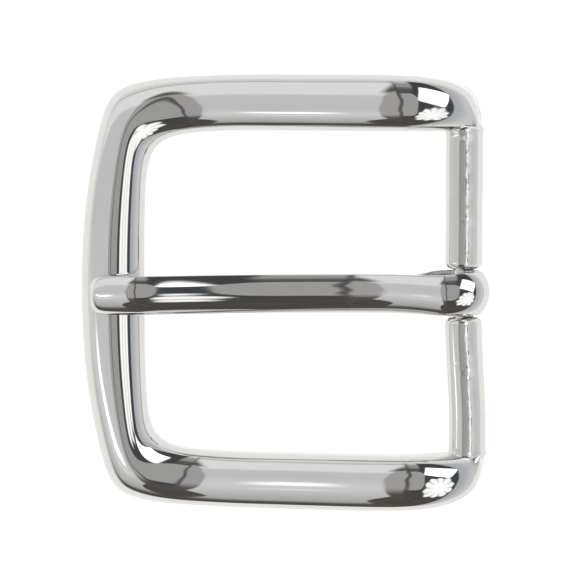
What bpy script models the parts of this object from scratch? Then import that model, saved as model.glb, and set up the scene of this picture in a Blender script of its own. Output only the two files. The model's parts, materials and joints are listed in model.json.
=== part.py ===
"""Single-bar belt buckle: a die-cast frame with its heel bar, and a hooked prong that swings on the bar.

Row frame, in metres: +X runs across the buckle from the front rail to the heel bar, +Y runs along the
bar, +Z points away from the wearer. The back of the frame lies in the plane Z = 0, the bar's axis is
parallel to Y, and the origin is the middle of the closed buckle's plan.
"""

import math
from dataclasses import dataclass

import bmesh
import bpy
import numpy as np

MM = 0.001

# Frame, in mm
FRAME_LENGTH = 43.6          # along X, front rail's face to the ends of the side rails
FRAME_WIDTH = 47.6           # along Y, over the side rails
SIDE_RAIL_WIDTH = 6.1
FRONT_RAIL_WIDTH = 6.9
FRONT_BOW = 2.0              # how far the front rail's face bows out past its corners
FRONT_RAIL_TOP = 4.9         # height of the front rail's crown over the back plane
SADDLE_TOP = 4.4             # lowest point of a side rail's crown, just behind the front rail
SADDLE_SETBACK = 11.9        # from the front face to the saddle
ARCH_TOP = 7.0               # highest point of a side rail's crown
ARCH_SETBACK = 8.21          # from the rail's end to the highest point
END_DROP = 4.8               # how far the crown falls from the arch to the rail's end
ARCH_BACK_RISE = 2.0         # the side rails' backs lift off the back plane under the arch
DOME_RATIO = 0.85            # height of a rail's domed top over half the rail's width
BACK_GRIND = 0.12            # ground off the back's rounding to leave it flat
SIDE_CROWN = 0.60            # place of the crown across a side rail, 0 outside, 1 inside
FRONT_CROWN = 0.45           # the same, across the front rail

# Heel bar, in mm
BAR_RADIUS = 2.03
BAR_PROUD = 0.18             # how far the bar stands out past the rails' ends
BAR_SEAT = 1.0               # length of bar buried in each rail
HEEL_SLANT = 0.5             # how far the heel's -Y end lies farther along +X than its other end
BAR_SHOULDER = 0.7           # rounding where the bar drops to its neck
NECK_RADIUS = 1.12

# Prong, in mm
PRONG_WIDTH = 4.25
PRONG_DEPTH = 2.2            # through the middle of its length
PRONG_TIP_DEPTH = 1.7
PRONG_OVERHANG = 1.2         # tip's face in from the front rail's face
PRONG_DIP_TOP = 4.58         # lowest point of the prong's top
HOOK_WALL = 1.3              # behind the bar
HOOK_TOP_WALL = 1.39         # over the bar
HOOK_WIDTH = 4.7
HOOK_TAIL = 5.6              # reach of the clenched tail in front of the bar's axis
TAIL_WALL = 0.95

# Clearances, in mm
NECK_CLEARANCE = 0.46        # between the neck and the hook's bore
SIDE_CLEARANCE = 0.3         # between the hook's sides and the bar's shoulders
TAIL_LIFT = 0.07             # of the clenched tail over the back plane
TIP_CLEARANCE = 0.32         # between the prong and the front rail

# Fineness of the lofts
FRAME_RIBS = 116
PRONG_RIBS = 72
DOME_STEPS = 7
BACK_STEPS = 4
BAR_SIDES = 24

BORE = NECK_RADIUS + NECK_CLEARANCE
NECK_LENGTH = HOOK_WIDTH + 2 * SIDE_CLEARANCE
BAR_HEIGHT = TAIL_LIFT + TAIL_WALL + BORE
BAR_SETBACK = BAR_RADIUS - BAR_PROUD
HOOK_CROWN = BAR_HEIGHT + BORE + HOOK_TOP_WALL
HOOK_OVERHANG = BORE + HOOK_WALL - BAR_SETBACK
FRONT_X = -(FRAME_LENGTH + HOOK_OVERHANG) / 2
END_X = FRONT_X + FRAME_LENGTH
SIDE_Y = FRAME_WIDTH / 2
INNER_Y = SIDE_Y - SIDE_RAIL_WIDTH
INNER_X = FRONT_X + FRONT_RAIL_WIDTH
BAR_X = END_X - BAR_SETBACK
ARCH_X = END_X - ARCH_SETBACK
SADDLE_X = FRONT_X + SADDLE_SETBACK


def mix(start, stop, share):
    """Return the value a share of the way from start to stop."""
    return start + (stop - start) * share


def smooth_step(value):
    """Return a 0 to 1 ramp with level ends."""
    value = np.clip(value, 0.0, 1.0)
    return value * value * (3.0 - 2.0 * value)


def spline(points, count):
    """Sample a uniform cubic B-spline that starts and ends on its first and last points."""
    points = np.asarray(points, dtype=float)
    padded = np.vstack((2 * points[0] - points[1], points, 2 * points[-1] - points[-2]))
    place = np.linspace(0.0, len(points) - 1.0, count)
    span = np.minimum(place.astype(int), len(points) - 2)
    t = (place - span)[:, None]
    weights = ((1 - t) ** 3, 3 * t**3 - 6 * t**2 + 4, -3 * t**3 + 3 * t**2 + 3 * t + 1, t**3)
    return sum(weight * padded[span + step] for step, weight in enumerate(weights)) / 6.0


def quarter(power, steps):
    """Return (across, up) from (1, 0) to (0, 1) along a quarter of a superellipse, without its end."""
    angle = np.linspace(0.0, math.pi / 2, steps, endpoint=False)
    return np.cos(angle) ** (2 / power), np.sin(angle) ** (2 / power)


@dataclass
class RailStation:
    """One rib of the frame's plan: its two edges, crown place and the height of its back."""

    outer: tuple
    inner: tuple
    crown: float
    back: float

    def row(self):
        """Return the station as one row of numbers."""
        return (*self.outer, *self.inner, self.crown, self.back)

    def mirrored(self):
        """Return the same rib on the other side of the XZ plane."""
        return RailStation((self.outer[0], -self.outer[1]), (self.inner[0], -self.inner[1]),
                           self.crown, self.back)


def rail_stations():
    """Return the ribs of one half of the frame, from the rail's end round to the front rail's middle."""
    side, front, rise = SIDE_CROWN, FRONT_CROWN, ARCH_BACK_RISE
    bow = FRONT_X + FRONT_BOW
    span = SADDLE_X - ARCH_X
    return [
        RailStation((END_X, INNER_Y), (END_X - 0.5, INNER_Y), side, 0.0),
        RailStation((END_X + 0.05, INNER_Y + 1.6), (END_X - 0.9, INNER_Y), side, 0.0),
        RailStation((END_X - 0.35, SIDE_Y - 2.4), (END_X - 1.7, INNER_Y), side, 0.0),
        RailStation((END_X - 1.6, SIDE_Y - 1.2), (END_X - 3.0, INNER_Y), side, 0.1),
        RailStation((END_X - 3.6, SIDE_Y - 0.55), (END_X - 4.8, INNER_Y), side, 0.5),
        RailStation((END_X - 6.3, SIDE_Y - 0.22), (END_X - 7.0, INNER_Y), side, 0.8 * rise),
        RailStation((ARCH_X - 1.1, SIDE_Y - 0.05), (ARCH_X - 1.1, INNER_Y), side, rise),
        RailStation((ARCH_X + 0.24 * span, SIDE_Y), (ARCH_X + 0.24 * span, INNER_Y), side, rise),
        RailStation((ARCH_X + 0.44 * span, SIDE_Y), (ARCH_X + 0.44 * span, INNER_Y), side, 0.7 * rise),
        RailStation((ARCH_X + 0.64 * span, SIDE_Y), (ARCH_X + 0.64 * span, INNER_Y), side, 0.3 * rise),
        RailStation((ARCH_X + 0.83 * span, SIDE_Y - 0.07), (ARCH_X + 0.81 * span, INNER_Y), side, 0.0),
        RailStation((SADDLE_X - 0.1, SIDE_Y - 0.25), (SADDLE_X + 1.1, INNER_Y - 0.2), side, 0.0),
        RailStation((bow + 6.4, SIDE_Y - 0.5), (INNER_X + 4.0, INNER_Y - 0.45), mix(side, front, 0.5), 0.0),
        RailStation((bow + 3.6, SIDE_Y - 1.05), (INNER_X + 2.5, INNER_Y - 0.9), mix(side, front, 0.8), 0.0),
        RailStation((bow + 1.75, SIDE_Y - 1.85), (INNER_X + 1.35, INNER_Y - 1.7), front, 0.0),
        RailStation((bow + 0.6, SIDE_Y - 3.7), (INNER_X + 0.7, INNER_Y - 2.8), front, 0.0),
        RailStation((bow - 0.1, SIDE_Y - 6.4), (INNER_X + 0.35, INNER_Y - 4.3), front, 0.0),
        RailStation((bow - 0.78, SIDE_Y - 9.6), (INNER_X + 0.18, INNER_Y - 6.3), front, 0.0),
        RailStation((FRONT_X + 0.62, SIDE_Y - 13.2), (INNER_X + 0.08, INNER_Y - 8.8), front, 0.0),
        RailStation((FRONT_X + 0.2, SIDE_Y - 17.3), (INNER_X, INNER_Y - 11.8), front, 0.0),
        RailStation((FRONT_X, 0.09 * SIDE_Y), (INNER_X, 0.09 * SIDE_Y), front, 0.0),
    ]


def crown_height(x):
    """Return the height of the rails' crown at x: front rail, saddle, arch, then the rounded end."""
    front = FRONT_RAIL_TOP + (SADDLE_TOP - FRONT_RAIL_TOP) * smooth_step(
        (x - INNER_X + 4.0) / (SADDLE_X - INNER_X + 4.0))
    arch = SADDLE_TOP + (ARCH_TOP - SADDLE_TOP) * smooth_step((x - SADDLE_X) / (ARCH_X - SADDLE_X))
    fall = np.clip((x - ARCH_X) / (ARCH_SETBACK + 0.15), 0.0, 1.0)
    end = ARCH_TOP - END_DROP * (1.0 - np.sqrt(1.0 - fall * fall))
    return np.where(x < SADDLE_X, front, np.where(x < ARCH_X, arch, end))


def heel_shift(x, y):
    """Return how far a point of the frame moves along +X, from none at the neck to all at the -Y rail."""
    along = smooth_step((x - SADDLE_X) / (END_X - SADDLE_X))
    return HEEL_SLANT * along * smooth_step((-y - NECK_LENGTH / 2) / (0.7 * INNER_Y))


def loft(name, rings):
    """Make a mesh from closed rings of points in mm, joined in turn, with a flat cap on each end."""
    count, size, _ = rings.shape
    points = (rings * MM).reshape(-1, 3)
    first = np.arange(count - 1)[:, None] * size + np.arange(size)[None, :]
    second = np.arange(count - 1)[:, None] * size + (np.arange(size) + 1)[None, :] % size
    faces = np.stack((first, second, second + size, first + size), axis=-1).reshape(-1, 4).tolist()
    faces.append(list(range(size))[::-1])
    faces.append(list(range((count - 1) * size, count * size)))
    mesh = bpy.data.meshes.new(name)
    mesh.from_pydata(points.tolist(), [], faces)
    work = bmesh.new()
    work.from_mesh(mesh)
    bmesh.ops.recalc_face_normals(work, faces=work.faces)
    work.to_mesh(mesh)
    work.free()
    return mesh


def rail_rings():
    """Return the frame's cross-sections, a domed top over upright sides and a flat back."""
    half = rail_stations()
    rows = [station.row() for station in half + [station.mirrored() for station in reversed(half)]]
    track = spline(rows, FRAME_RIBS)
    outer, inner, crown, back = track[:, 0:2], track[:, 2:4], track[:, 4:5], track[:, 5:6]
    width = np.linalg.norm(inner - outer, axis=1, keepdims=True)
    top = crown_height(mix(outer[:, 0:1], inner[:, 0:1], crown))
    dome = np.minimum(DOME_RATIO * width / 2, 0.62 * (top - back))
    shoulder = top - dome
    across, up = quarter(2.0, DOME_STEPS)
    back_across, back_down = quarter(5.0, BACK_STEPS)
    flip = slice(None, None, -1)
    share = np.hstack((
        crown + (1 - crown) * across,
        crown - crown * np.append(across[1:], 0.0)[flip],
        crown - crown * back_across,
        crown + (1 - crown) * np.append(back_across[1:], 0.0)[flip],
    ))
    depth = shoulder - back + BACK_GRIND
    height = np.hstack((
        shoulder + dome * up,
        shoulder + dome * np.append(up[1:], 1.0)[flip],
        shoulder - depth * back_down,
        shoulder - depth * np.append(back_down[1:], 1.0)[flip],
    ))
    height = np.maximum(height, back)
    plan = outer[:, None, :] + (inner - outer)[:, None, :] * share[:, :, None]
    plan[:, :, 0] += heel_shift(plan[:, :, 0], plan[:, :, 1])
    return np.concatenate((plan, height[:, :, None]), axis=2)


def bar_profile():
    """Return the outline (along, radius) of the bar, from one buried end to the other."""
    reach = INNER_Y + BAR_SEAT
    neck = NECK_LENGTH / 2
    turn = np.linspace(0.0, math.pi / 2, 6)
    rounding = [(neck + BAR_SHOULDER * (1 - math.sin(a)), BAR_RADIUS - BAR_SHOULDER * (1 - math.cos(a)))
                for a in turn]
    barrel = [(mix(reach, neck + BAR_SHOULDER, share), BAR_RADIUS) for share in np.arange(8) / 8]
    half = [*barrel, *rounding, (neck, NECK_RADIUS)]
    return half + [(-along, radius) for along, radius in reversed(half)]


def make_bar(collection):
    """Carry circles of the profile's radius along Y, on an axis that slants with the heel."""
    along, radius = np.array(bar_profile()).T[:, :, None]
    angle = np.linspace(0.0, 2 * math.pi, BAR_SIDES, endpoint=False)
    x = BAR_X + heel_shift(END_X, along) + radius * np.cos(angle)
    z = BAR_HEIGHT + radius * np.sin(angle)
    rings = np.stack(np.broadcast_arrays(x, along, z), axis=2)
    bar = bpy.data.objects.new("bar", loft("bar", rings))
    collection.objects.link(bar)
    bar.hide_render = True
    bar.display_type = "WIRE"
    return bar


def prong_stations():
    """Return the prong's ribs from tip to tail: top point, under point and half-width, all in mm."""
    tip = FRONT_X + PRONG_OVERHANG
    seat = FRONT_RAIL_TOP + TIP_CLEARANCE
    tip_top = seat + PRONG_TIP_DEPTH
    under = PRONG_DIP_TOP - PRONG_DEPTH
    wide, hook = PRONG_WIDTH / 2, HOOK_WIDTH / 2
    fall = tip_top - PRONG_DIP_TOP
    drop = seat - under
    start, stop = tip + 8.1, BAR_X - 4.9
    bore = BORE
    wall = bore + HOOK_WALL + 0.1
    foot = bore + TAIL_WALL
    tail = BAR_X - HOOK_TAIL
    x, z = BAR_X, BAR_HEIGHT
    return [
        ((tip, seat + 0.5), (tip, seat + 0.3), 0.9),
        ((tip, seat + 0.75), (tip + 0.05, seat + 0.1), 1.35),
        ((tip + 0.45, tip_top - 0.55), (tip + 0.5, seat), 0.93 * wide),
        ((tip + 1.9, tip_top - 0.2), (tip + 1.9, seat), wide),
        ((tip + 3.9, tip_top), (tip + 3.9, seat), wide),
        ((tip + 5.8, tip_top - 0.05), (tip + 5.8, seat - 0.1), wide),
        ((start, tip_top - 0.19 * fall), (start, seat - 0.22 * drop), wide),
        ((mix(start, stop, 0.11), tip_top - 0.42 * fall), (mix(start, stop, 0.11), seat - 0.45 * drop), wide),
        ((mix(start, stop, 0.24), tip_top - 0.66 * fall), (mix(start, stop, 0.24), seat - 0.69 * drop), wide),
        ((mix(start, stop, 0.38), tip_top - 0.85 * fall), (mix(start, stop, 0.38), seat - 0.86 * drop), wide),
        ((mix(start, stop, 0.53), tip_top - 0.96 * fall), (mix(start, stop, 0.53), seat - 0.97 * drop), wide),
        ((mix(start, stop, 0.68), PRONG_DIP_TOP), (mix(start, stop, 0.68), under), wide),
        ((mix(start, stop, 0.80), PRONG_DIP_TOP + 0.05), (mix(start, stop, 0.80), under + 0.05), wide),
        ((mix(start, stop, 0.91), PRONG_DIP_TOP + 0.25), (mix(start, stop, 0.91), under + 0.3), wide),
        ((x - 4.6, HOOK_CROWN - 0.33), (x - 4.7, z + bore - 0.75), mix(wide, hook, 0.3)),
        ((x - 2.7, HOOK_CROWN - 0.02), (x - 3.0, z + bore - 0.25), mix(wide, hook, 0.6)),
        ((x - 1.3, HOOK_CROWN), (x - 1.5, z + bore), mix(wide, hook, 0.85)),
        ((x + 0.3, HOOK_CROWN - 0.17), (x - 0.1, z + bore), hook),
        ((x + 0.57 * wall, HOOK_CROWN - 0.68), (x + 0.6 * bore, z + 0.8 * bore), hook),
        ((x + 0.89 * wall, HOOK_CROWN - 1.6), (x + 0.93 * bore, z + 0.38 * bore), hook),
        ((x + wall, z + 0.2), (x + bore, z - 0.1), hook),
        ((x + 0.9 * wall, z - 0.42 * wall), (x + 0.9 * bore, z - 0.55 * bore), hook),
        ((x + 0.58 * wall, z - 0.98 * foot), (x + 0.5 * bore, z - 0.98 * bore), hook),
        ((x - 0.2, z - foot), (x - 0.25, z - bore - 0.02), hook),
        ((x - 1.8, z - foot), (x - 1.8, z - bore), 0.97 * hook),
        ((x - 3.5, z - foot + 0.05), (x - 3.5, z - bore + 0.05), 0.88 * hook),
        ((tail + 0.5, z - foot + 0.15), (tail + 0.5, z - bore + 0.05), 0.72 * hook),
        ((tail, z - foot + 0.3), (tail, z - bore - 0.1), 0.6 * hook),
    ]


def prong_rings():
    """Return the prong's cross-sections, a rounded top over a flatter underside."""
    rows = [(*top, *under, half) for top, under, half in prong_stations()]
    track = spline(rows, PRONG_RIBS)
    top, under, half = track[:, 0:2], track[:, 2:4], track[:, 4:5]
    across_top, up = quarter(2.3, DOME_STEPS)
    across_low, down = quarter(3.6, BACK_STEPS)
    flip = slice(None, None, -1)
    side = np.concatenate((across_top, -np.append(across_top[1:], 0.0)[flip],
                           -across_low, np.append(across_low[1:], 0.0)[flip]))
    lift = np.concatenate((0.4 + 0.6 * up, 0.4 + 0.6 * np.append(up[1:], 1.0)[flip],
                           0.4 - 0.4 * down, 0.4 - 0.4 * np.append(down[1:], 1.0)[flip]))
    plane = under[:, None, :] + (top - under)[:, None, :] * lift[None, :, None]
    width = half * side[None, :]
    return np.stack((plane[:, :, 0], width, plane[:, :, 1]), axis=2)


def plating(name, colour, roughness):
    """Make a polished metal plating with its own Principled shader."""
    material = bpy.data.materials.new(name)
    material.use_nodes = True
    shader = material.node_tree.nodes["Principled BSDF"]
    shader.inputs["Base Color"].default_value = (*colour, 1.0)
    shader.inputs["Metallic"].default_value = 1.0
    shader.inputs["Roughness"].default_value = roughness
    return material


def finish(piece, material):
    """Give a piece its material and smooth shading that keeps its real edges."""
    piece.data.materials.clear()
    piece.data.materials.append(material)
    piece.data.shade_smooth()
    piece.data.set_sharp_from_angle(angle=math.radians(40))


def make_frame(parts, cutters):
    """Build the frame's loft and cast the heel bar into it."""
    frame = bpy.data.objects.new("frame", loft("frame", rail_rings()))
    parts.objects.link(frame)
    union = frame.modifiers.new("cast_in_bar", "BOOLEAN")
    union.operation = "UNION"
    union.solver = "EXACT"
    union.object = make_bar(cutters)
    finish(frame, plating("frame_plating", (0.80, 0.80, 0.79), 0.07))


def make_prong(parts):
    """Build the prong with its origin on the bar's axis, where it hinges."""
    mesh = loft("prong", prong_rings() - np.array((BAR_X, 0.0, BAR_HEIGHT)))
    prong = bpy.data.objects.new("prong", mesh)
    parts.objects.link(prong)
    prong.location = (BAR_X * MM, 0.0, BAR_HEIGHT * MM)
    finish(prong, plating("prong_plating", (0.81, 0.81, 0.80), 0.06))


def main():
    """Clear the scene and build the buckle."""
    for item in list(bpy.data.objects):
        bpy.data.objects.remove(item)
    parts = bpy.data.collections.new("belt_buckle")
    cutters = bpy.data.collections.new("cutters")
    bpy.context.scene.collection.children.link(parts)
    bpy.context.scene.collection.children.link(cutters)
    make_frame(parts, cutters)
    make_prong(parts)


main()
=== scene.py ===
"""Single-bar belt buckle in polished nickel plate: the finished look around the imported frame.

Units inside the shape code are millimetres in the row frame: +X from the front rail to the heel bar,
+Y along the bar, +Z away from the wearer. Meshes are written in metres.
"""

import json
import logging
import math
from dataclasses import dataclass, field
from enum import Enum

import bpy
import numpy as np
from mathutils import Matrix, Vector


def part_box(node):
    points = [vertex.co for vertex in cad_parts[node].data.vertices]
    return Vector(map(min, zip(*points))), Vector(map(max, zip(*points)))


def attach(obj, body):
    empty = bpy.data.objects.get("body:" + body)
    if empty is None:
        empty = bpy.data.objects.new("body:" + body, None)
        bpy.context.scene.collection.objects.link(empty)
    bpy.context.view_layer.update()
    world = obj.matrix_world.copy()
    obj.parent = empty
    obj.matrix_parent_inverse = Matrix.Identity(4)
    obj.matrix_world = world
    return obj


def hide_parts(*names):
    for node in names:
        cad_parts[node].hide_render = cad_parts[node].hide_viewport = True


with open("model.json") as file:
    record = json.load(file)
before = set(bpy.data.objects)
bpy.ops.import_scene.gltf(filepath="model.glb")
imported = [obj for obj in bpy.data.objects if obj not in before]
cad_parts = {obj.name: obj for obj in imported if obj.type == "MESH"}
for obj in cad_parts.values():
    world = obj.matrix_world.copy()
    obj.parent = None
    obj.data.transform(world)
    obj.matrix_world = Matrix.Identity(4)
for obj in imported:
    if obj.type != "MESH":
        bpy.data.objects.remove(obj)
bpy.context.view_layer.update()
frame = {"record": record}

MM = 0.001
LOG = logging.getLogger("belt_buckle")

Number = float | np.ndarray
Pair = tuple[float, float]
Tone = tuple[float, float, float]
Stops = tuple[tuple[float, Tone], ...]
Feed = bpy.types.NodeSocket | float | tuple | None


class Side(Enum):
    """A half of the casting, with the sign of its Y."""

    PLUS_Y = 1.0
    MINUS_Y = -1.0


def grey(level: float) -> Tone:
    """Return an even grey."""
    return (level, level, level)


def mix(start: Number, stop: Number, share: Number) -> Number:
    """Return the value a share of the way from start to stop."""
    return start + (stop - start) * share


def ramp(value: Number, low: Number, high: Number) -> np.ndarray:
    """Return 0 below low, 1 above high and the cubic 3t^2 - 2t^3 between."""
    t = np.clip((np.asarray(value, dtype=float) - low) / (high - low), 0.0, 1.0)
    return t * t * (3.0 - 2.0 * t)


def bell(offset: Number) -> Number:
    """Return the bell curve exp(-d^2) of an offset d."""
    return np.exp(-(offset ** 2))


def hinge_point() -> np.ndarray:
    """Return the point that the prong turns about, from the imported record, in mm."""
    return np.array(frame["record"]["behaviour"]["joints"][0]["pos_m"]) / MM


def spline(points: list[tuple], count: int) -> np.ndarray:
    """Sample a uniform cubic B-spline that starts and ends on its end points.

    Each sample weighs four neighbouring points with the cubic B-spline basis
    ((1-t)^3, 3t^3-6t^2+4, -3t^3+3t^2+3t+1, t^3) / 6, and the second and last but one points are reflected
    in the end points so that the curve starts and ends on them.

    Args:
        points: Rows of control values.
        count: Number of samples, evenly spaced in the parameter.

    Returns:
        An array of count rows.
    """
    rows = np.asarray(points, dtype=float)
    padded = np.vstack((2 * rows[0] - rows[1], rows, 2 * rows[-1] - rows[-2]))
    place = np.linspace(0.0, len(rows) - 1.0, count)
    span = np.minimum(place.astype(int), len(rows) - 2)
    t = (place - span)[:, None]
    weights = ((1 - t) ** 3, 3 * t**3 - 6 * t**2 + 4, -3 * t**3 + 3 * t**2 + 3 * t + 1, t**3)
    return sum(weight * padded[span + step] for step, weight in enumerate(weights)) / 6.0


def quarter(power: float, steps: int) -> tuple[np.ndarray, np.ndarray]:
    """Sample a quarter of a superellipse |a|^p + |b|^p = 1 as a = cos^(2/p), b = sin^(2/p).

    Args:
        power: The exponent p.
        steps: Number of points, without the last one on the b axis.

    Returns:
        The across and up coordinates, running from (1, 0) towards (0, 1).
    """
    angle = np.linspace(0.0, math.pi / 2, steps, endpoint=False)
    return np.cos(angle) ** (2 / power), np.sin(angle) ** (2 / power)


def ripple(x: Number, y: Number, waves: int, seed: int) -> np.ndarray:
    """Return a smooth irregular pattern, a sum of sine waves of seeded direction and phase.

    Args:
        x: First surface coordinate.
        y: Second surface coordinate.
        waves: Number of sine waves.
        seed: Seed of the pitches, directions and phases.

    Returns:
        Values of about -1 to 1.
    """
    slowest, fastest = 0.6, 1.9
    rng = np.random.default_rng(seed)
    total = np.zeros(np.broadcast(x, y).shape)
    for pitch in rng.uniform(slowest, fastest, waves):
        heading, phase = rng.uniform(0.0, 2 * math.pi, 2)
        total += np.sin(pitch * (x * math.cos(heading) + y * math.sin(heading)) + phase)
    return total / math.sqrt(waves)


def loft(name: str, rings: np.ndarray) -> bpy.types.Object:
    """Make a closed object from rings of points in mm, joined in turn, with a fan on each end.

    Args:
        name: Name of the object.
        rings: Array (ring, point, 3).

    Returns:
        The smooth-shaded object, linked to the scene.
    """
    count, size, _ = rings.shape
    ends = np.stack((rings[0].mean(axis=0), rings[-1].mean(axis=0)))
    points = np.vstack((rings.reshape(-1, 3), ends)) * MM
    here = np.arange(size)
    there = (here + 1) % size
    base = np.arange(count - 1)[:, None] * size
    quads = np.stack((base + here, base + there, base + size + there, base + size + here), axis=-1)
    last = (count - 1) * size
    start = np.stack((np.full(size, count * size), there, here), axis=-1)
    stop = np.stack((np.full(size, count * size + 1), last + here, last + there), axis=-1)
    faces = [*quads.reshape(-1, 4).tolist(), *start.tolist(), *stop.tolist()]
    mesh = bpy.data.meshes.new(name)
    mesh.from_pydata(points.tolist(), [], faces)
    mesh.shade_smooth()
    piece = bpy.data.objects.new(name, mesh)
    bpy.context.scene.collection.objects.link(piece)
    return piece


class Nodes:
    """Shorthand for writing one node tree. Colours are given without alpha."""

    def __init__(self, tree: bpy.types.NodeTree) -> None:
        """Keep the tree that the nodes go in."""
        self.tree = tree

    def add(self, kind: str, **settings: object) -> bpy.types.Node:
        """Add a node.

        Args:
            kind: Blender's name for the kind of node.
            **settings: Properties of the node and their values.

        Returns:
            The new node.
        """
        node = self.tree.nodes.new(kind)
        for key, value in settings.items():
            setattr(node, key, value)
        return node

    def feed(self, node: bpy.types.Node, **sockets: Feed) -> bpy.types.Node:
        """Join values or outputs to a node's inputs.

        Args:
            node: The node to feed.
            **sockets: What goes in, by index as i0, i1 and so on. None leaves an input as it is.

        Returns:
            The same node.
        """
        for key, value in sockets.items():
            socket = node.inputs[int(key[1:])]
            if isinstance(value, bpy.types.NodeSocket):
                self.tree.links.new(value, socket)
            elif value is not None:
                socket.default_value = (*value, 1.0) if socket.type == "RGBA" else value
        return node

    def math(self, operation: str, first: Feed, second: Feed = None,
             third: Feed = None) -> bpy.types.NodeSocket:
        """Return the result of a Math node.

        Args:
            operation: Blender's name for the operation.
            first: First operand.
            second: Second operand, if the operation has one.
            third: Third operand, if the operation has one.

        Returns:
            The node's output.
        """
        node = self.add("ShaderNodeMath", operation=operation)
        return self.feed(node, i0=first, i1=second, i2=third).outputs[0]

    def step(self, value: Feed, low: float, high: float) -> bpy.types.NodeSocket:
        """Return a smooth 0 to 1 ramp of a value between low and high."""
        node = self.add("ShaderNodeMapRange", interpolation_type="SMOOTHSTEP")
        return self.feed(node, i0=value, i1=low, i2=high, i3=0.0, i4=1.0).outputs[0]

    def blend(self, share: Feed, under: Feed, over: Feed) -> bpy.types.NodeSocket:
        """Return a colour mixed from under to over by a share."""
        node = self.add("ShaderNodeMix", data_type="RGBA")
        return self.feed(node, i0=share, i6=under, i7=over).outputs[2]

    def plus(self, first: Feed, second: Feed) -> bpy.types.NodeSocket:
        """Return the sum of two colours."""
        node = self.add("ShaderNodeMix", data_type="RGBA", blend_type="ADD")
        return self.feed(node, i0=1.0, i6=first, i7=second).outputs[2]

    def noise(self, place: Feed, scale: Feed, detail: float) -> bpy.types.NodeSocket:
        """Return the value of a noise texture."""
        node = self.add("ShaderNodeTexNoise")
        return self.feed(node, i0=place, i2=scale, i3=detail).outputs[0]

    def stops(self, value: Feed, stops: Stops) -> bpy.types.NodeSocket:
        """Return a colour ramp.

        Args:
            value: A value of 0 to 1.
            stops: Places of 0 to 1 and the colour at each.

        Returns:
            The ramp's colour.
        """
        node = self.add("ShaderNodeValToRGB")
        elements = node.color_ramp.elements
        while len(elements) < len(stops):
            elements.new(1.0)
        for element, (place, colour) in zip(elements, stops):
            element.position = place
            element.color = (*colour, 1.0)
        return self.feed(node, i0=value).outputs[0]


def new_group(name: str, inputs: dict[str, float | None],
              outputs: tuple[str, ...]) -> tuple[Nodes, bpy.types.Node, bpy.types.Node]:
    """Start a shader node group with named sockets.

    Args:
        name: Name of the group.
        inputs: Names of the inputs and their default numbers, or None for a vector.
        outputs: Names of the outputs, which are all numbers.

    Returns:
        The node writer, the group's input node and its output node.
    """
    tree = bpy.data.node_groups.new(name, "ShaderNodeTree")
    for label, value in inputs.items():
        kind = "NodeSocketVector" if value is None else "NodeSocketFloat"
        socket = tree.interface.new_socket(label, in_out="INPUT", socket_type=kind)
        if value is not None:
            socket.default_value = value
    for label in outputs:
        tree.interface.new_socket(label, in_out="OUTPUT", socket_type="NodeSocketFloat")
    nodes = Nodes(tree)
    return nodes, nodes.add("NodeGroupInput"), nodes.add("NodeGroupOutput")


def buffing_group() -> bpy.types.NodeTree:
    """Build the buffed plating group: fine scratches, a soft orange-peel wave and handling smears.

    Returns:
        The group, with a height for the bump and shifts of the roughness and of the tone.
    """
    nodes, source, result = new_group(
        "buffed_plating",
        {"Place": None, "Scratch Scale": 900.0, "Scratch Depth": 0.5, "Wave Depth": 0.5, "Smear": 0.5},
        ("Height", "Roughness", "Tone"),
    )
    place, scale, depth, swell, amount = list(source.outputs)[:5]
    scratch_stretch, scratch_edge, scratch_rough = (0.12, 1.0, 0.6), (0.60, 0.72), 0.05
    smear_scale, smear_edge, smear_rough, smear_tone = 190.0, (0.42, 0.75), 0.06, 0.07
    wave_scale = 420.0
    stretch = nodes.add("ShaderNodeVectorMath", operation="MULTIPLY")
    nodes.feed(stretch, i0=place, i1=scratch_stretch)
    lines = nodes.step(nodes.noise(stretch.outputs[0], scale, 2.0), *scratch_edge)
    grooves = nodes.math("MULTIPLY", lines, nodes.math("MULTIPLY", depth, -1.0))
    wave = nodes.math("MULTIPLY", nodes.noise(place, wave_scale, 1.0), swell)
    smear = nodes.step(nodes.noise(place, smear_scale, 4.0), *smear_edge)
    smear = nodes.math("MULTIPLY", smear, amount)
    smeared = nodes.math("MULTIPLY", smear, smear_rough)
    scratched = nodes.math("MULTIPLY", lines, scratch_rough)
    nodes.feed(result, i0=nodes.math("ADD", grooves, wave), i1=nodes.math("ADD", smeared, scratched),
               i2=nodes.math("MULTIPLY", smear, smear_tone))
    return nodes.tree


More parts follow.
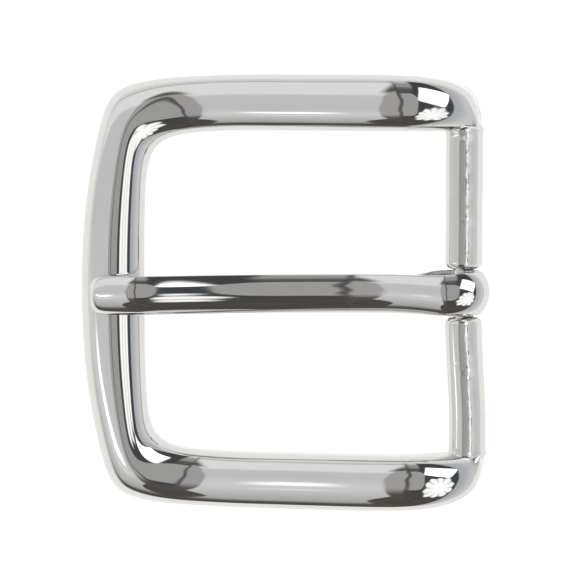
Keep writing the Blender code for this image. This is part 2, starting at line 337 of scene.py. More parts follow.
@dataclass(frozen=True)
class Plating:
    """One plated finish: its colours, how sharp it mirrors and how well it is buffed.

    Where line names a point attribute, the metal along it is as rough and light as it left the mould.
    """

    name: str
    colour: Tone
    dull: Tone
    roughness: float
    scratch: float = 0.03
    wave: float = 0.05
    smear: float = 0.6
    bump: float = 0.02
    line: str = ""
    line_colour: Tone = (0.90, 0.90, 0.88)
    line_rough: float = 0.30
    line_grain: float = 1500.0
    line_edge: Pair = (0.30, 0.60)

    def material(self, buffing: bpy.types.NodeTree) -> bpy.types.Material:
        """Build the material.

        Args:
            buffing: The shared buffed plating group.

        Returns:
            A metal whose colour and roughness shift with the smears and whose normal carries the scratches.
        """
        material = bpy.data.materials.new(self.name)
        material.use_nodes = True
        nodes = Nodes(material.node_tree)
        shader = nodes.tree.nodes["Principled BSDF"]
        shader.inputs["Metallic"].default_value = 1.0
        place = nodes.add("ShaderNodeTexCoord").outputs["Object"]
        group = nodes.add("ShaderNodeGroup", node_tree=buffing)
        nodes.feed(group, i0=place, i2=self.scratch, i3=self.wave, i4=self.smear)
        colour = nodes.blend(group.outputs["Tone"], self.colour, self.dull)
        rough = nodes.math("ADD", group.outputs["Roughness"], self.roughness)
        if self.line:
            line = nodes.add("ShaderNodeAttribute", attribute_name=self.line).outputs["Fac"]
            grain = nodes.step(nodes.noise(place, self.line_grain, 3.0), *self.line_edge)
            coarse = nodes.math("MULTIPLY", nodes.math("MULTIPLY", line, grain), self.line_rough)
            rough = nodes.math("ADD", rough, coarse)
            colour = nodes.blend(line, colour, self.line_colour)
        bump = nodes.add("ShaderNodeBump")
        bump.inputs["Strength"].default_value = 1.0
        bump.inputs["Distance"].default_value = self.bump * MM
        nodes.tree.links.new(group.outputs["Height"], bump.inputs["Height"])
        nodes.tree.links.new(colour, shader.inputs["Base Color"])
        nodes.tree.links.new(rough, shader.inputs["Roughness"])
        nodes.tree.links.new(bump.outputs[0], shader.inputs["Normal"])
        return material


def dress(piece: bpy.types.Object, body: str, node: str, material: bpy.types.Material) -> None:
    """Give a piece its finish and its place in the record, and report it.

    Args:
        piece: The piece to dress.
        body: Body that it rides on.
        node: CAD node that it stands for.
        material: Its finish.
    """
    piece.data.materials.append(material)
    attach(piece, body)
    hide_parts(node)
    LOG.info("%s: %d faces on body %s", piece.name, len(piece.data.polygons), body)


@dataclass
class CastFrame:
    """The C-shaped casting: a bowed front rail, two arched side rails and the heel bar between them.

    Each of the blobs on the bar is a place along Y and a height, and blob_size is their reach along the
    bar and across it. The bar's crown leans, and its casting line stands, only where the radius has passed
    the pair lean_from or flash_from, so that the neck stays plain.
    """

    side_rail: float = 6.1
    front_rail: float = 6.9
    bow: float = 2.0
    front_top: float = 4.9
    front_run_in: float = 4.0
    saddle_top: float = 4.4
    saddle_setback: float = 11.9
    arch_setback: float = 8.21
    arch_skew: float = 0.29
    heel_slant: float = 0.5
    slant_reach: float = 0.7
    end_slope: float = 0.36
    end_nose: float = 0.17
    end_overhang: float = 0.15
    back_rise: float = 2.0
    side_crown: float = 0.60
    front_crown: float = 0.45
    side_dome: float = 0.67
    front_dome: float = 0.76
    dome_limit: float = 0.62
    dome_power: float = 2.0
    flank_power: float = 5.0
    dome_change: float = 3.0
    back_grind: float = 0.12
    flange: float = 0.6
    flange_fillet: float = 0.35
    bar_radius: float = 2.03
    bar_proud: float = 0.18
    bar_flare: float = 0.10
    bar_fillet: float = 0.35
    bar_seat: float = 1.3
    bar_seated: float = 0.97
    bar_crown: float = 0.365
    lean_from: Pair = (1.2, 1.8)
    lean_power: float = 1.5
    shoulder: float = 0.75
    neck_radius: float = 1.12
    neck_length: float = 5.3
    flash_setback: float = 0.74
    flash_wander: float = 0.04
    flash_width: float = 0.30
    flash_height: float = 0.075
    flash_grain: float = 0.012
    flash_lift: Pair = (0.3, 0.6)
    flash_from: Pair = (1.8, 1.95)
    flash_spread: float = 0.4
    blobs: tuple[Pair, ...] = ((17.0, 0.16), (7.9, 0.08), (-8.6, 0.10))
    blob_size: Pair = (0.40, 0.45)
    ribs: int = 560
    dome_steps: int = 26
    side_steps: int = 12
    barrel_steps: int = 150
    shoulder_steps: int = 16
    neck_steps: int = 25
    round_steps: int = 120
    low: np.ndarray = field(init=False)
    high: np.ndarray = field(init=False)
    axis: np.ndarray = field(init=False)

    def __post_init__(self) -> None:
        """Read the casting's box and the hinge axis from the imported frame."""
        low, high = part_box("frame")
        self.low, self.high = np.array(low) / MM, np.array(high) / MM
        self.axis = hinge_point()

    @property
    def end_x(self) -> float:
        """Return where the side rails end."""
        return self.axis[0] + self.bar_radius - self.bar_proud

    @property
    def inner_y(self) -> float:
        """Return the side rails' inner face."""
        return self.high[1] - self.side_rail

    def half_plan(self, side: Side) -> list[tuple]:
        """List one half's ribs as (outer x, outer y, inner x, inner y, crown, back, flange).

        Args:
            side: Which half.

        Returns:
            Rows from the rail's end round the corner to the middle of the front rail.
        """
        end, front, edge, inner = self.end_x, self.low[0], self.high[1], self.inner_y
        bow, inside, rise = front + self.bow, front + self.front_rail, self.back_rise
        arch, saddle = end - self.arch_setback, front + self.saddle_setback
        span, long, cross = saddle - arch, self.side_crown, self.front_crown
        rows = [
            (end + 0.13, inner, end - 1.0, inner, long, 0.0, self.flange),
            (end + 0.13, inner + 1.3, end - 1.4, inner, long, 0.0, self.flange),
            (end - 0.35, edge - 2.4, end - 1.7, inner, long, 0.0, self.flange),
            (end - 1.6, edge - 1.2, end - 3.0, inner, long, 0.1, 0.7 * self.flange),
            (end - 3.6, edge - 0.55, end - 4.8, inner, long, 0.5, 0.3 * self.flange),
            (end - 6.3, edge - 0.22, end - 7.0, inner, long, 0.8 * rise, 0.0),
            (arch - 1.1, edge - 0.05, arch - 1.1, inner, long, rise, 0.0),
            (arch + 0.24 * span, edge, arch + 0.24 * span, inner, long, rise, 0.0),
            (arch + 0.44 * span, edge, arch + 0.44 * span, inner, long, 0.7 * rise, 0.0),
            (arch + 0.64 * span, edge, arch + 0.64 * span, inner, long, 0.3 * rise, 0.0),
            (arch + 0.83 * span, edge - 0.07, arch + 0.81 * span, inner, long, 0.0, 0.0),
            (saddle - 0.1, edge - 0.25, saddle + 1.1, inner - 0.2, mix(long, cross, 0.2), 0.0, 0.0),
            (bow + 6.4, edge - 0.5, inside + 4.0, inner - 0.45, mix(long, cross, 0.5), 0.0, 0.0),
            (bow + 3.6, edge - 1.05, inside + 2.5, inner - 0.9, mix(long, cross, 0.8), 0.0, 0.0),
            (bow + 1.75, edge - 1.85, inside + 1.35, inner - 1.7, cross, 0.0, 0.0),
            (bow + 0.6, edge - 3.7, inside + 0.7, inner - 2.8, cross, 0.0, 0.0),
            (bow - 0.1, edge - 6.4, inside + 0.35, inner - 4.3, cross, 0.0, 0.0),
            (bow - 0.78, edge - 9.6, inside + 0.18, inner - 6.3, cross, 0.0, 0.0),
            (front + 0.62, edge - 13.2, inside + 0.08, inner - 8.8, cross, 0.0, 0.0),
            (front + 0.2, edge - 17.3, inside, inner - 11.8, cross, 0.0, 0.0),
            (front, 0.09 * edge, inside, 0.09 * edge, cross, 0.0, 0.0),
        ]
        return [(ox, side.value * oy, ix, side.value * iy, *rest) for ox, oy, ix, iy, *rest in rows]

    def heel_shift(self, x: Number, y: Number) -> np.ndarray:
        """Return how far a point moves along +X: a ramp along the rail times a ramp from the neck to -Y.

        Args:
            x: Places along X.
            y: Places along Y.

        Returns:
            The shifts.
        """
        along = ramp(x, self.low[0] + self.saddle_setback, self.end_x)
        neck = self.neck_length / 2
        return self.heel_slant * along * ramp(-y, neck, neck + self.slant_reach * self.inner_y)

    def crown_height(self, x: np.ndarray, side: np.ndarray) -> np.ndarray:
        """Return the rails' crown height.

        A cubic ramp falls from the front rail to the saddle, another climbs from the saddle to the arch,
        and from the arch to the rail's end it drops as a parabola with a ninth-power nose.

        Args:
            x: Places along X.
            side: The sign of each place's Y.

        Returns:
            The heights.
        """
        top, inside = self.high[2], self.low[0] + self.front_rail
        saddle = self.low[0] + self.saddle_setback
        setback = self.arch_setback + self.arch_skew * side
        arch = self.end_x - setback
        front = mix(self.front_top, self.saddle_top, ramp(x, inside - self.front_run_in, saddle))
        climb = mix(self.saddle_top, top, ramp(x, saddle, arch))
        reach = setback + self.end_overhang
        fall = np.clip((x - arch) / reach, 0.0, 1.0)
        end = top - reach * (self.end_slope * fall**2 + self.end_nose * fall**9)
        return np.where(x < saddle, front, np.where(x < arch, climb, end))

    def rail_rings(self) -> np.ndarray:
        """Work out the casting's cross-sections.

        Each section is four superellipse quarters in the plane of its rib: two domed ones over the crown
        and two nearly square ones below, cut off flat at the back.

        Returns:
            Rings of points, from one end of the C to the other.
        """
        rows = self.half_plan(Side.PLUS_Y) + self.half_plan(Side.MINUS_Y)[::-1]
        track = spline(rows, self.ribs)
        outer, inner = track[:, 0:2], track[:, 2:4]
        crown, back, flange = track[:, 4:5], track[:, 5:6], track[:, 6:7]
        width = np.linalg.norm(inner - outer, axis=1, keepdims=True)
        place = mix(outer[:, 0:1], inner[:, 0:1], crown)
        top = self.crown_height(place, np.sign(outer[:, 1:2]))
        inside = self.low[0] + self.front_rail
        along = ramp(place, inside - self.dome_change, inside + self.dome_change)
        ratio = mix(self.front_dome, self.side_dome, along)
        dome = np.minimum(ratio * width / 2, self.dome_limit * (top - back))
        shoulder = top - dome
        across, up = quarter(self.dome_power, self.dome_steps)
        low_across, low_down = quarter(self.flank_power, self.side_steps)
        rise = np.append(up[1:], 1.0)[::-1]
        depth = shoulder - back + self.back_grind
        edge = crown - flange / width
        lean = flange / width * ramp(low_down, 0.0, self.flange_fillet)
        share = np.hstack((
            crown + (1 - crown) * across,
            crown - edge * np.append(across[1:], 0.0)[::-1],
            crown - (edge + lean) * low_across,
            crown + (1 - crown) * np.append(low_across[1:], 0.0)[::-1],
        ))
        height = np.hstack((
            shoulder + dome * up,
            shoulder + dome * rise,
            shoulder - depth * low_down,
            shoulder - depth * np.append(low_down[1:], 1.0)[::-1],
        ))
        plan = outer[:, None, :] + (inner - outer)[:, None, :] * share[:, :, None]
        plan[:, :, 0] += self.heel_shift(plan[:, :, 0], plan[:, :, 1])
        return np.concatenate((plan, np.maximum(height, back)[:, :, None]), axis=2)

    def bar_profile(self) -> tuple[np.ndarray, np.ndarray]:
        """Work out the heel bar's radius along Y.

        It is the barrel's radius, rounded off by a quarter circle towards the neck in the middle, with a
        bell-shaped fillet at each rail and a quarter ellipse where it runs into the rail.

        Returns:
            Places along Y and the radius at each.
        """
        neck, round_off = self.neck_length / 2, self.shoulder
        barrel = np.linspace(self.inner_y + self.bar_seat, neck + round_off, self.barrel_steps)
        turn = np.linspace(0.0, math.pi / 2, self.shoulder_steps)
        shoulder = (neck + round_off * (1 - np.sin(turn)))[1:]
        middle = np.linspace(neck, -neck, self.neck_steps)
        along = np.concatenate((barrel, shoulder, middle, -shoulder[::-1], -barrel[::-1]))
        round_drop = round_off * (1 - np.cos(turn[1:]))
        neck_drop = np.full(self.neck_steps, self.bar_radius - self.neck_radius)
        level = np.zeros(self.barrel_steps)
        drop = np.concatenate((level, round_drop, neck_drop, round_drop[::-1], level))
        past = np.abs(along) - self.inner_y
        seated = np.sqrt(1.0 - np.clip(past / self.bar_seat, 0.0, self.bar_seated) ** 2)
        return along, seated * (self.bar_radius - drop + self.bar_flare * bell(past / self.bar_fillet))

    def bar_rings(self) -> tuple[np.ndarray, np.ndarray]:
        """Work out the heel bar's surface.

        Around the bar, the barrel is two half ellipses of unlike width, so that its crown leans to the
        front, with a raw casting line, exp(-d^2), on the back of the crown and a few blobs along it.

        Returns:
            The cross-sections, and how far each of their points lies on the casting line, 0 to 1.
        """
        along, radii = self.bar_profile()
        y, radius = along[:, None], radii[:, None]
        angle = np.linspace(0.0, 2 * math.pi, self.round_steps, endpoint=False)[None, :]
        side, lift = np.cos(angle), np.sin(angle)
        lean = (1.0 - 2.0 * self.bar_crown) * radius * ramp(radius, *self.lean_from)
        shift = -lean * np.maximum(lift, 0.0) ** self.lean_power
        line = side * radius - self.flash_setback + self.flash_wander * ripple(1.5 * y, 0.0 * side, 5, 3)
        upper = ramp(lift, *self.flash_lift)
        ridge = bell(line / self.flash_width) * upper * ramp(radius, *self.flash_from)
        flash = ridge * (self.flash_height + self.flash_grain * ripple(3.0 * y, 3.0 * side, 12, 5))
        long, wide = self.blob_size
        for place, height in self.blobs:
            flash = flash + height * np.exp(-(((y - place) / long) ** 2 + (line / wide) ** 2)) * upper
        level = (radius + self.flash_spread * flash) * side
        x = self.axis[0] + self.heel_shift(self.end_x, y) + level + shift
        z = self.axis[2] + (radius + flash) * lift
        return np.stack(np.broadcast_arrays(x, y, z), axis=2), ridge

    def build(self, finish: bpy.types.Material, raw: bpy.types.Material) -> None:
        """Make the casting's two surfaces and dress them.

        Args:
            finish: The rails' finish.
            raw: The bar's finish.
        """
        dress(loft("frame_rails", self.rail_rings()), "frame", "frame", finish)
        rings, ridge = self.bar_rings()
        bar = loft("heel_bar", rings)
        line = bar.data.attributes.new("casting_line", "FLOAT", "POINT")
        line.data.foreach_set("value", np.append(ridge.ravel(), (0.0, 0.0)).astype(np.float32))
        dress(bar, "frame", "frame", raw)


@dataclass
class HookedProng:
    """The prong: a blunt tip on the front rail, a long sagging run and a hook clenched on the bar.

    Each row of sag is a place along the run and the shares of their fall that its top and its underside
    have reached there.
    """

    width: float = 4.25
    depth: float = 2.2
    tip_depth: float = 1.7
    dip_top: float = 4.58
    hook_wall: float = 1.28
    hook_top_wall: float = 1.39
    hook_width: float = 4.7
    run_start: float = 8.1
    run_stop: float = 4.9
    tail_reach: float = 5.6
    tail_wall: float = 0.95
    bore: float = 1.58
    arc: float = 45.0
    arc_limit: float = 0.85
    under_power: float = 3.6
    roll: float = 0.158
    sag: tuple[tuple[float, float, float], ...] = (
        (0.0, 0.19, 0.22), (0.11, 0.42, 0.45), (0.24, 0.66, 0.69), (0.38, 0.85, 0.86),
        (0.53, 0.96, 0.97), (0.68, 1.0, 1.0), (0.80, 0.98, 0.98), (0.91, 0.89, 0.89),
    )
    ribs: int = 520
    dome_steps: int = 30
    under_steps: int = 16

    def stations(self) -> list[tuple]:
        """List the ribs from tip to tail.

        Returns:
            Rows of (top x, top z, under x, under z, half-width, slope of the top to -Y, shift to +Y).
        """
        low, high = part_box("prong")
        tip, tip_top = low[0] / MM, high[2] / MM
        x, _, z = hinge_point()
        seat, under = tip_top - self.tip_depth, self.dip_top - self.depth
        wide, hook, roll = self.width / 2, self.hook_width / 2, self.roll
        fall, drop = tip_top - self.dip_top, seat - under
        start, stop = tip + self.run_start, x - self.run_stop
        bore, crown = self.bore, z + self.bore + self.hook_top_wall
        wall, foot, tail = bore + self.hook_wall + 0.1, bore + self.tail_wall, x - self.tail_reach
        run = [(start + s * (stop - start), tip_top - a * fall, start + s * (stop - start), seat - b * drop,
                wide, roll, 0.0) for s, a, b in self.sag]
        return [
            (tip, seat + 0.45, tip, seat + 0.3, 0.9, 0.0, 0.0),
            (tip + 0.03, seat + 0.72, tip + 0.05, seat + 0.1, 1.35, 0.2 * roll, 0.0),
            (tip + 0.5, tip_top - 0.45, tip + 0.55, seat, 0.93 * wide, 0.6 * roll, 0.0),
            (tip + 1.9, tip_top - 0.14, tip + 1.9, seat, wide, roll, 0.0),
            (tip + 3.9, tip_top, tip + 3.9, seat, wide, roll, 0.0),
            (tip + 5.8, tip_top - 0.05, tip + 5.8, seat - 0.1, wide, roll, 0.0),
            *run,
            (x - 4.6, crown - 0.33, x - 4.7, z + bore - 0.75, wide, 0.8 * roll, -0.1),
            (x - 2.7, crown - 0.02, x - 3.0, z + bore - 0.25, mix(wide, hook, 0.3), 0.5 * roll, -0.15),
            (x - 1.3, crown, x - 1.5, z + bore, mix(wide, hook, 0.7), 0.3 * roll, -0.1),
            (x + 0.3, crown - 0.17, x - 0.1, z + bore, hook, 0.3 * roll, 0.0),
            (x + 1.7, crown - 0.68, x + 0.95, z + 0.8 * bore, hook, 0.3 * roll, 0.0),
            (x + 2.65, crown - 1.6, x + 1.47, z + 0.38 * bore, hook, 0.2 * roll, 0.0),
            (x + wall, z + 0.2, x + bore, z - 0.1, hook, 0.1 * roll, 0.0),
            (x + 0.9 * wall, z - 0.42 * wall, x + 0.9 * bore, z - 0.55 * bore, hook, 0.0, 0.0),
            (x + 0.58 * wall, z - 0.98 * foot, x + 0.5 * bore, z - 0.98 * bore, hook, 0.0, 0.0),
            (x - 0.2, z - foot, x - 0.25, z - bore - 0.02, 0.97 * hook, 0.0, 0.06),
            (x - 1.8, z - foot, x - 1.8, z - bore, 0.93 * hook, 0.0, 0.16),
            (x - 3.5, z - foot + 0.05, x - 3.5, z - bore + 0.05, 0.84 * hook, 0.0, 0.2),
            (tail + 0.5, z - foot + 0.15, tail + 0.5, z - bore + 0.05, 0.68 * hook, 0.0, 0.2),
            (tail, z - foot + 0.3, tail, z - bore - 0.1, 0.55 * hook, 0.0, 0.2),
        ]

    def rings(self) -> np.ndarray:
        """Work out the prong's cross-sections.

        Each has a circular arc on top, which ends in a soft edge short of upright, and flat superellipse
        quarters under it. The arc is sheared by the rib's slope so that the prong looks a little rolled.

        Returns:
            Rings of points, from tip to tail.
        """
        track = spline(self.stations(), self.ribs)
        top, under, half = track[:, 0:2], track[:, 2:4], track[:, 4:5]
        roll, shift = track[:, 5:6], track[:, 6:7]
        depth = np.linalg.norm(top - under, axis=1, keepdims=True)
        limit = math.radians(self.arc)
        dome = np.minimum(half * math.tan(limit / 2) / depth, self.arc_limit)
        angle = np.linspace(-limit, limit, 2 * self.dome_steps + 1)[::-1]
        arc_side = np.sin(angle) / math.sin(limit)
        arc_rise = (np.cos(angle) - math.cos(limit)) / (1.0 - math.cos(limit))
        low_across, down = quarter(self.under_power, self.under_steps)
        under_side = np.concatenate((-low_across[1:], [0.0], low_across[:0:-1]))
        under_down = np.concatenate((down[1:], [1.0], down[:0:-1]))
        side = np.concatenate((arc_side, under_side))
        lift = np.hstack((1.0 - dome * (1.0 - arc_rise), (1.0 - dome) * (1.0 - under_down)))
        sheared = np.concatenate((np.ones(arc_side.size), 1.0 - under_down))
        lift = lift + roll * half * side * sheared / depth
        plane = under[:, None, :] + (top - under)[:, None, :] * lift[:, :, None]
        return np.stack((plane[:, :, 0], shift + half * side, plane[:, :, 1]), axis=2)

    def build(self, finish: bpy.types.Material) -> None:
        """Make the prong's surface and dress it in its finish."""
        dress(loft("prong_body", self.rings()), "prong", "prong", finish)


@dataclass
class Tent:
    """The surroundings that the plating mirrors, painted on the world by direction.

    Angles are in degrees from the zenith, east towards +X and north towards +Y. An edge is the pair of
    values at which a mask is 0 and 1, with a smooth step between them. A field is a middle and its
    half-widths. Sway and bend are the scale and swing of the two angles' unevenness.
    """

    sway: Pair = (2.2, 2.5)
    bend: Pair = (3.1, 5.0)
    walls: Stops = (
        (-90, (0.12, 0.10, 0.09)), (-74, (0.12, 0.10, 0.09)), (-64, (0.55, 0.55, 0.54)),
        (-45, (0.72, 0.72, 0.71)), (-25, (0.90, 0.90, 0.92)), (-10, (0.80, 0.80, 0.82)),
        (0, (0.76, 0.76, 0.78)), (24, (0.78, 0.78, 0.80)), (30, (1.03, 1.03, 1.05)),
        (66, (1.04, 1.04, 1.04)), (71, (0.62, 0.62, 0.60)), (76, (0.90, 0.88, 0.85)),
        (80, (0.98, 0.96, 0.91)),
    )
    strips: Stops = (
        (-45, grey(0.0)), (-34, grey(0.0)), (-32, grey(0.4)), (-30, grey(0.0)),
        (-25, grey(0.0)), (-22, grey(1.4)), (-18, grey(1.4)), (-15, grey(0.0)),
    )
    strip_pivot: float = -20.0
    strip_lean: float = 0.12
    strip_edges: tuple[Pair, Pair] = ((-56.0, -48.0), (-12.0, -22.0))
    cool_dark: Tone = (0.075, 0.080, 0.087)
    warm_dark: Tone = (0.10, 0.085, 0.075)
    warm_edge: Pair = (-30.0, -62.0)
    patch_dark: Tone = (0.125, 0.103, 0.086)
    patch_edge: Pair = (-28.0, -48.0)
    split_edge: Pair = (0.3, -0.3)
    wedge_edge: Pair = (-36.0, -62.0)
    wedge_reach: float = 14.0
    column: Stops = (
        (32, grey(0.12)), (46, grey(0.15)), (57, grey(0.46)), (64, grey(0.36)), (73, (0.80, 0.78, 0.75)),
    )
    column_lean: float = 0.15
    column_east: float = -2.0
    column_edges: tuple[Pair, Pair] = ((10.0, 6.0), (28.0, 38.0))
    shades: tuple[Tone, Tone] = ((0.50, 0.49, 0.48), (0.12, 0.11, 0.10))
    shade_edge: Pair = (-22.0, -42.0)
    shade_field: tuple[Pair, Pair] = ((4.0, -8.0), (10.0, 46.0))
    shade_side: Pair = (0.8, 0.2)
    opening: Tone = (0.48, 0.475, 0.46)
    opening_field: tuple[Pair, Pair] = ((4.5, 1.5), (11.5, 31.5))
    opening_side: Pair = (0.8, 1.4)
    seam: Tone = (0.12, 0.11, 0.11)
    seam_east: float = 0.9
    seam_edge: Pair = (1.1, 0.5)
    seam_strength: float = 0.75
    field_edge: Pair = (1.12, 0.88)
    softbox_glow: Tone = (2.4, 2.4, 2.4)
    softbox_corners: tuple[Pair, ...] = ((0.27, 0.30), (0.42, 1.35), (1.35, 0.95), (0.90, -0.05))
    softbox_edge: Pair = (-0.02, 0.03)
    softbox_round: float = 0.10
    umbrella_glow: Tone = (1.50, 1.49, 1.48)
    umbrella_ribs: Tone = (0.95, 0.94, 0.93)
    umbrella_at: Pair = (32.0, -29.0)
    umbrella_size: Pair = (0.25, 0.43)
    umbrella_count: float = 10.0
    umbrella_scallop: float = 0.07
    umbrella_edge: Pair = (1.08, 0.90)
    rib_edge: Pair = (0.2, 0.9)
    rib_reach: Pair = (0.25, 0.8)
    east_walls: tuple[Tone, Tone] = ((0.58, 0.61, 0.64), (0.82, 0.84, 0.84))
    east_edges: tuple[Pair, Pair] = ((50.0, 53.0), (55.0, 80.0))
    cloud_scale: float = 7.0
    cloud_edge: Pair = (0.40, 0.60)
    table: Tone = (0.97, 0.95, 0.91)
    table_edges: tuple[Pair, Pair] = ((76.0, 80.0), (-76.0, -82.0))
    backdrop: Tone = (0.93, 0.93, 0.92)
    nodes: Nodes = field(init=False)
    direction: bpy.types.NodeSocket = field(init=False)
    parts: list[bpy.types.NodeSocket] = field(init=False)
    east: bpy.types.NodeSocket = field(init=False)
    north: bpy.types.NodeSocket = field(init=False)

    def __post_init__(self) -> None:
        """Make the world and the two angles by which everything in it is placed."""
        world = bpy.data.worlds.new("tent")
        world.use_nodes = True
        bpy.context.scene.world = world
        self.nodes = Nodes(world.node_tree)
        self.direction = self.nodes.add("ShaderNodeTexCoord").outputs["Generated"]
        split = self.nodes.feed(self.nodes.add("ShaderNodeSeparateXYZ"), i0=self.direction)
        self.parts = list(split.outputs)
        self.east = self.angle(self.parts[0], self.sway)
        self.north = self.angle(self.parts[1], self.bend)

    def angle(self, part: Feed, unevenness: Pair) -> bpy.types.NodeSocket:
        """Work out an angle from the zenith, made a little uneven by slow noise.

        Args:
            part: The direction's part along the angle's axis.
            unevenness: Scale of the noise, and the degrees that it swings by.

        Returns:
            The angle in degrees.
        """
        nodes = self.nodes
        scale, swing = unevenness
        uneven = nodes.math("SUBTRACT", nodes.noise(self.direction, scale, 0.0), 0.5)
        level = nodes.math("DEGREES", nodes.math("ARCTAN2", part, self.parts[2]))
        return nodes.math("ADD", level, nodes.math("MULTIPLY", uneven, swing))

    def painted(self, angle: Feed, stops: Stops) -> bpy.types.NodeSocket:
        """Return a colour ramp over an angle of -90 to 90 degrees, with its stops at angles."""
        place = self.nodes.math("DIVIDE", self.nodes.math("ADD", angle, 90.0), 180.0)
        return self.nodes.stops(place, tuple(((at + 90.0) / 180.0, tone) for at, tone in stops))

    def both(self, first: Feed, second: Feed) -> bpy.types.NodeSocket:
        """Return the product of two masks."""
        return self.nodes.math("MULTIPLY", first, second)

    def disc(self, centre: Pair, reach: Pair) -> bpy.types.NodeSocket:
        """Mask a rounded field |a|^3 + |b|^3 < 1 in the two angles.

        Args:
            centre: Its middle, east and north.
            reach: Its half-widths, east and north.

        Returns:
            The mask.
        """
        nodes = self.nodes
        parts = []
        for angle, middle, half in zip((self.east, self.north), centre, reach):
            off = nodes.math("ABSOLUTE", nodes.math("DIVIDE", nodes.math("SUBTRACT", angle, middle), half))
            parts.append(nodes.math("POWER", off, 3.0))
        return nodes.step(nodes.math("ADD", *parts), *self.field_edge)

    def pale_walls(self) -> bpy.types.NodeSocket:
        """Paint the pale walls on the -X side, with bright strips that lean.

        Returns:
            Their colour.
        """
        nodes = self.nodes
        off = nodes.math("SUBTRACT", self.east, self.strip_pivot)
        leaning = nodes.math("ADD", self.north, nodes.math("MULTIPLY", off, self.strip_lean))
        west, east = self.strip_edges
        lit = self.both(nodes.step(self.east, *west), nodes.step(self.east, *east))
        strips = nodes.blend(lit, grey(0.0), self.painted(leaning, self.strips))
        return nodes.plus(self.painted(self.north, self.walls), strips)

    def dark_room(self, walls: Feed) -> bpy.types.NodeSocket:
        """Paint the dark room on the +X side, warmer low down, where it reaches past the middle to -X.

        Args:
            walls: Colour of the walls.

        Returns:
            The walls and the room.
        """
        nodes = self.nodes
        cloud = nodes.step(nodes.noise(self.direction, self.cloud_scale, 2.0), *self.cloud_edge)
        dark = nodes.blend(nodes.step(self.north, *self.warm_edge), self.cool_dark, self.warm_dark)
        dark = nodes.blend(self.both(cloud, nodes.step(self.north, *self.patch_edge)), dark, self.patch_dark)
        low_down = nodes.step(self.north, *self.wedge_edge)
        wedge = nodes.math("MULTIPLY_ADD", low_down, self.wedge_reach, self.east)
        return nodes.blend(nodes.step(wedge, *self.split_edge), dark, walls)

    def add_column(self, room: Feed) -> bpy.types.NodeSocket:
        """Paint the leaning column that stands north of the zenith.

        Args:
            room: Colour of what lies behind.

        Returns:
            Both together.
        """
        nodes = self.nodes
        off = nodes.math("SUBTRACT", self.east, self.column_east)
        beside = nodes.math("ABSOLUTE", nodes.math("MULTIPLY_ADD", self.north, -self.column_lean, off))
        sides, foot = self.column_edges
        mask = self.both(nodes.step(beside, *sides), nodes.step(self.north, *foot))
        return nodes.blend(mask, room, self.painted(self.north, self.column))

    def add_opening(self, room: Feed) -> bpy.types.NodeSocket:
        """Paint the opening over the buckle: its shaded side, its lighter side and the seam between them.

        Args:
            room: Colour of what lies behind.

        Returns:
            Both together.
        """
        nodes = self.nodes
        shade = nodes.blend(nodes.step(self.north, *self.shade_edge), *self.shades)
        shaded = self.both(self.disc(*self.shade_field), nodes.step(self.east, *self.shade_side))
        room = nodes.blend(shaded, room, shade)
        lighter = self.both(self.disc(*self.opening_field), nodes.step(self.east, *self.opening_side))
        room = nodes.blend(lighter, room, self.opening)
        off = nodes.math("ABSOLUTE", nodes.math("SUBTRACT", self.east, self.seam_east))
        seam = nodes.math("MULTIPLY", nodes.step(off, *self.seam_edge), self.seam_strength)
        return nodes.blend(seam, room, self.seam)

    def softbox(self) -> bpy.types.NodeSocket:
        """Mask the four-cornered lamp.

        The corners are (x / z, y / z), clockwise as seen from below, and the mask is a smooth step of the
        least signed distance to the four sides.

        Returns:
            The mask.
        """
        nodes = self.nodes
        x, y, z = self.parts
        ahead = nodes.math("MAXIMUM", z, 0.02)
        across, along = nodes.math("DIVIDE", x, ahead), nodes.math("DIVIDE", y, ahead)
        corners = self.softbox_corners
        sides = []
        for (ax, ay), (bx, by) in zip(corners, corners[1:] + corners[:1]):
            length = math.hypot(bx - ax, by - ay)
            nx, ny = (by - ay) / length, (ax - bx) / length
            off = nodes.math("MULTIPLY_ADD", along, ny, -nx * ax - ny * ay)
            sides.append(nodes.math("MULTIPLY_ADD", across, nx, off))
        least = sides[0]
        for side in sides[1:]:
            least = nodes.math("SMOOTH_MIN", least, side, self.softbox_round)
        return nodes.step(least, *self.softbox_edge)

    def umbrella(self) -> tuple[bpy.types.NodeSocket, bpy.types.NodeSocket]:
        """Mask the umbrella lamp.

        The direction is projected on the plane square to the lamp's own direction, as (d.u / d.c, d.v / d.c),
        where the outline is |a|^3 + |b|^3 = 1 with a radius that waves with the angle.

        Returns:
            The ribs' mask and the outline's mask.
        """
        nodes = self.nodes
        east, north = (math.tan(math.radians(angle)) for angle in self.umbrella_at)
        centre = np.array((east, north, 1.0))
        centre /= np.linalg.norm(centre)
        right = np.cross((0.0, 1.0, 0.0), centre)
        right /= np.linalg.norm(right)
        parts = []
        for axis in (centre, right, np.cross(centre, right)):
            dot = nodes.add("ShaderNodeVectorMath", operation="DOT_PRODUCT")
            nodes.feed(dot, i0=self.direction, i1=tuple(axis))
            parts.append(dot.outputs["Value"])
        ahead = nodes.math("MAXIMUM", parts[0], 0.001)
        across, along = (nodes.math("DIVIDE", nodes.math("DIVIDE", part, ahead), half)
                         for part, half in zip(parts[1:], self.umbrella_size))
        cubes = [nodes.math("POWER", nodes.math("ABSOLUTE", part), 3.0) for part in (across, along)]
        radius = nodes.math("POWER", nodes.math("ADD", *cubes), 1.0 / 3.0)
        turn = nodes.math("MULTIPLY", nodes.math("ARCTAN2", along, across), self.umbrella_count)
        waves = nodes.math("COSINE", turn)
        outline = nodes.math("ADD", radius, nodes.math("MULTIPLY", waves, self.umbrella_scallop))
        ribs = self.both(nodes.step(waves, *self.rib_edge), nodes.step(radius, *self.rib_reach))
        return ribs, nodes.step(outline, *self.umbrella_edge)

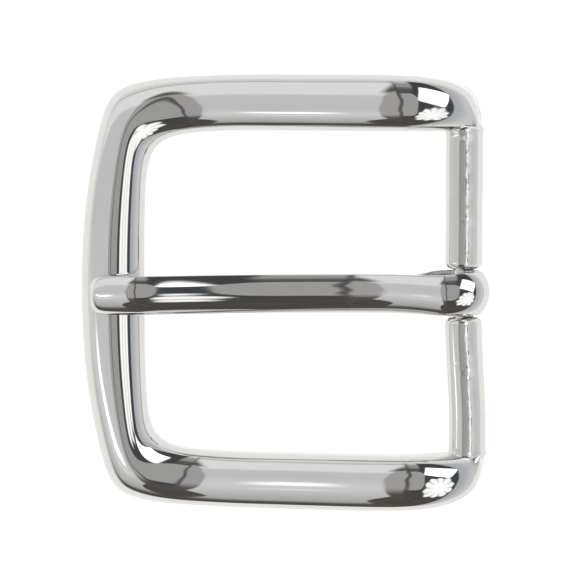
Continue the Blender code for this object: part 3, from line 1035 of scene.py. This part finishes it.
    def add_lamps(self, room: Feed) -> bpy.types.NodeSocket:
        """Paint the softbox and the umbrella.

        Args:
            room: Colour of what lies behind.

        Returns:
            All of it together.
        """
        nodes = self.nodes
        room = nodes.blend(self.softbox(), room, self.softbox_glow)
        ribs, outline = self.umbrella()
        return nodes.blend(outline, room, nodes.blend(ribs, self.umbrella_glow, self.umbrella_ribs))

    def add_rim(self, room: Feed) -> bpy.types.NodeSocket:
        """Paint what stands low down all round: the cool east wall and the far parts of the table.

        Args:
            room: Colour of what lies behind.

        Returns:
            All of it together.
        """
        nodes = self.nodes
        foot, height = self.east_edges
        cool = nodes.blend(nodes.step(self.east, *height), *self.east_walls)
        room = nodes.blend(nodes.step(self.east, *foot), room, cool)
        north, west = self.table_edges
        room = nodes.blend(nodes.step(self.north, *north), room, self.table)
        return nodes.blend(nodes.step(self.east, *west), room, self.table)

    def build(self) -> None:
        """Paint the tent from its walls forwards, with a plain backdrop where the camera looks."""
        room = self.dark_room(self.pale_walls())
        room = self.add_rim(self.add_lamps(self.add_opening(self.add_column(room))))
        seen = self.nodes.add("ShaderNodeLightPath").outputs["Is Camera Ray"]
        room = self.nodes.blend(seen, room, self.backdrop)
        self.nodes.feed(self.nodes.tree.nodes["Background"], i0=room)


@dataclass
class Studio:
    """The floor and camera round the buckle, with sizes in metres."""

    distance: float = 0.300
    lean: float = 6.0
    view_width: float = 0.0628
    centre: tuple[float, float, float] = (0.00026, 0.00053, 0.003)
    sensor_mm: float = 36.0
    clip: Pair = (0.01, 20.0)
    floor_reach: float = 4.0
    floor_z: float = -1e-5
    paper: Tone = (0.35, 0.35, 0.345)
    paper_glow: Tone = (1.0, 0.99, 0.965)
    glow_strength: float = 0.86

    def camera(self) -> None:
        """Place the camera above the buckle, leaning a little to +Y, and make it the scene's."""
        data = bpy.data.cameras.new("camera")
        data.sensor_width = self.sensor_mm
        data.lens = self.sensor_mm * self.distance / self.view_width
        data.clip_start, data.clip_end = self.clip
        camera = bpy.data.objects.new("camera", data)
        lean = math.radians(self.lean)
        x, y, z = self.centre
        camera.location = (x, y + self.distance * math.sin(lean), z + self.distance * math.cos(lean))
        camera.rotation_euler = (-lean, 0.0, 0.0)
        bpy.context.scene.collection.objects.link(camera)
        bpy.context.scene.camera = camera

    def floor(self) -> None:
        """Lay a plain pale table, glowing a little like back-lit paper so that its shade stays soft."""
        mesh = bpy.data.meshes.new("table")
        reach = self.floor_reach
        corners = [(x * reach, y * reach, self.floor_z) for x, y in ((-1, -1), (1, -1), (1, 1), (-1, 1))]
        mesh.from_pydata(corners, [], [(0, 1, 2, 3)])
        table = bpy.data.objects.new("table", mesh)
        bpy.context.scene.collection.objects.link(table)
        paper = bpy.data.materials.new("paper")
        paper.use_nodes = True
        shader = paper.node_tree.nodes["Principled BSDF"]
        shader.inputs["Base Color"].default_value = (*self.paper, 1.0)
        shader.inputs["Roughness"].default_value = 1.0
        shader.inputs["Specular IOR Level"].default_value = 0.0
        shader.inputs["Emission Color"].default_value = (*self.paper_glow, 1.0)
        shader.inputs["Emission Strength"].default_value = self.glow_strength
        mesh.materials.append(paper)

    def build(self) -> None:
        """Set up the camera, the floor and the way tones are shown."""
        self.camera()
        self.floor()
        bpy.context.scene.view_settings.view_transform = "Standard"


def main() -> None:
    """Build the studio, the tent and the buckle."""
    logging.basicConfig(level=logging.INFO)
    Studio().build()
    Tent().build()
    buffing = buffing_group()
    polished = Plating("polished_plating", (0.66, 0.66, 0.65), (0.58, 0.58, 0.57), 0.035)
    raw = Plating("as_cast_plating", (0.66, 0.66, 0.645), (0.55, 0.55, 0.53), 0.08, scratch=0.2, bump=0.03,
                  line="casting_line")
    CastFrame().build(polished.material(buffing), raw.material(buffing))
    HookedProng().build(polished.material(buffing))


if __name__ == "__main__":
    main()
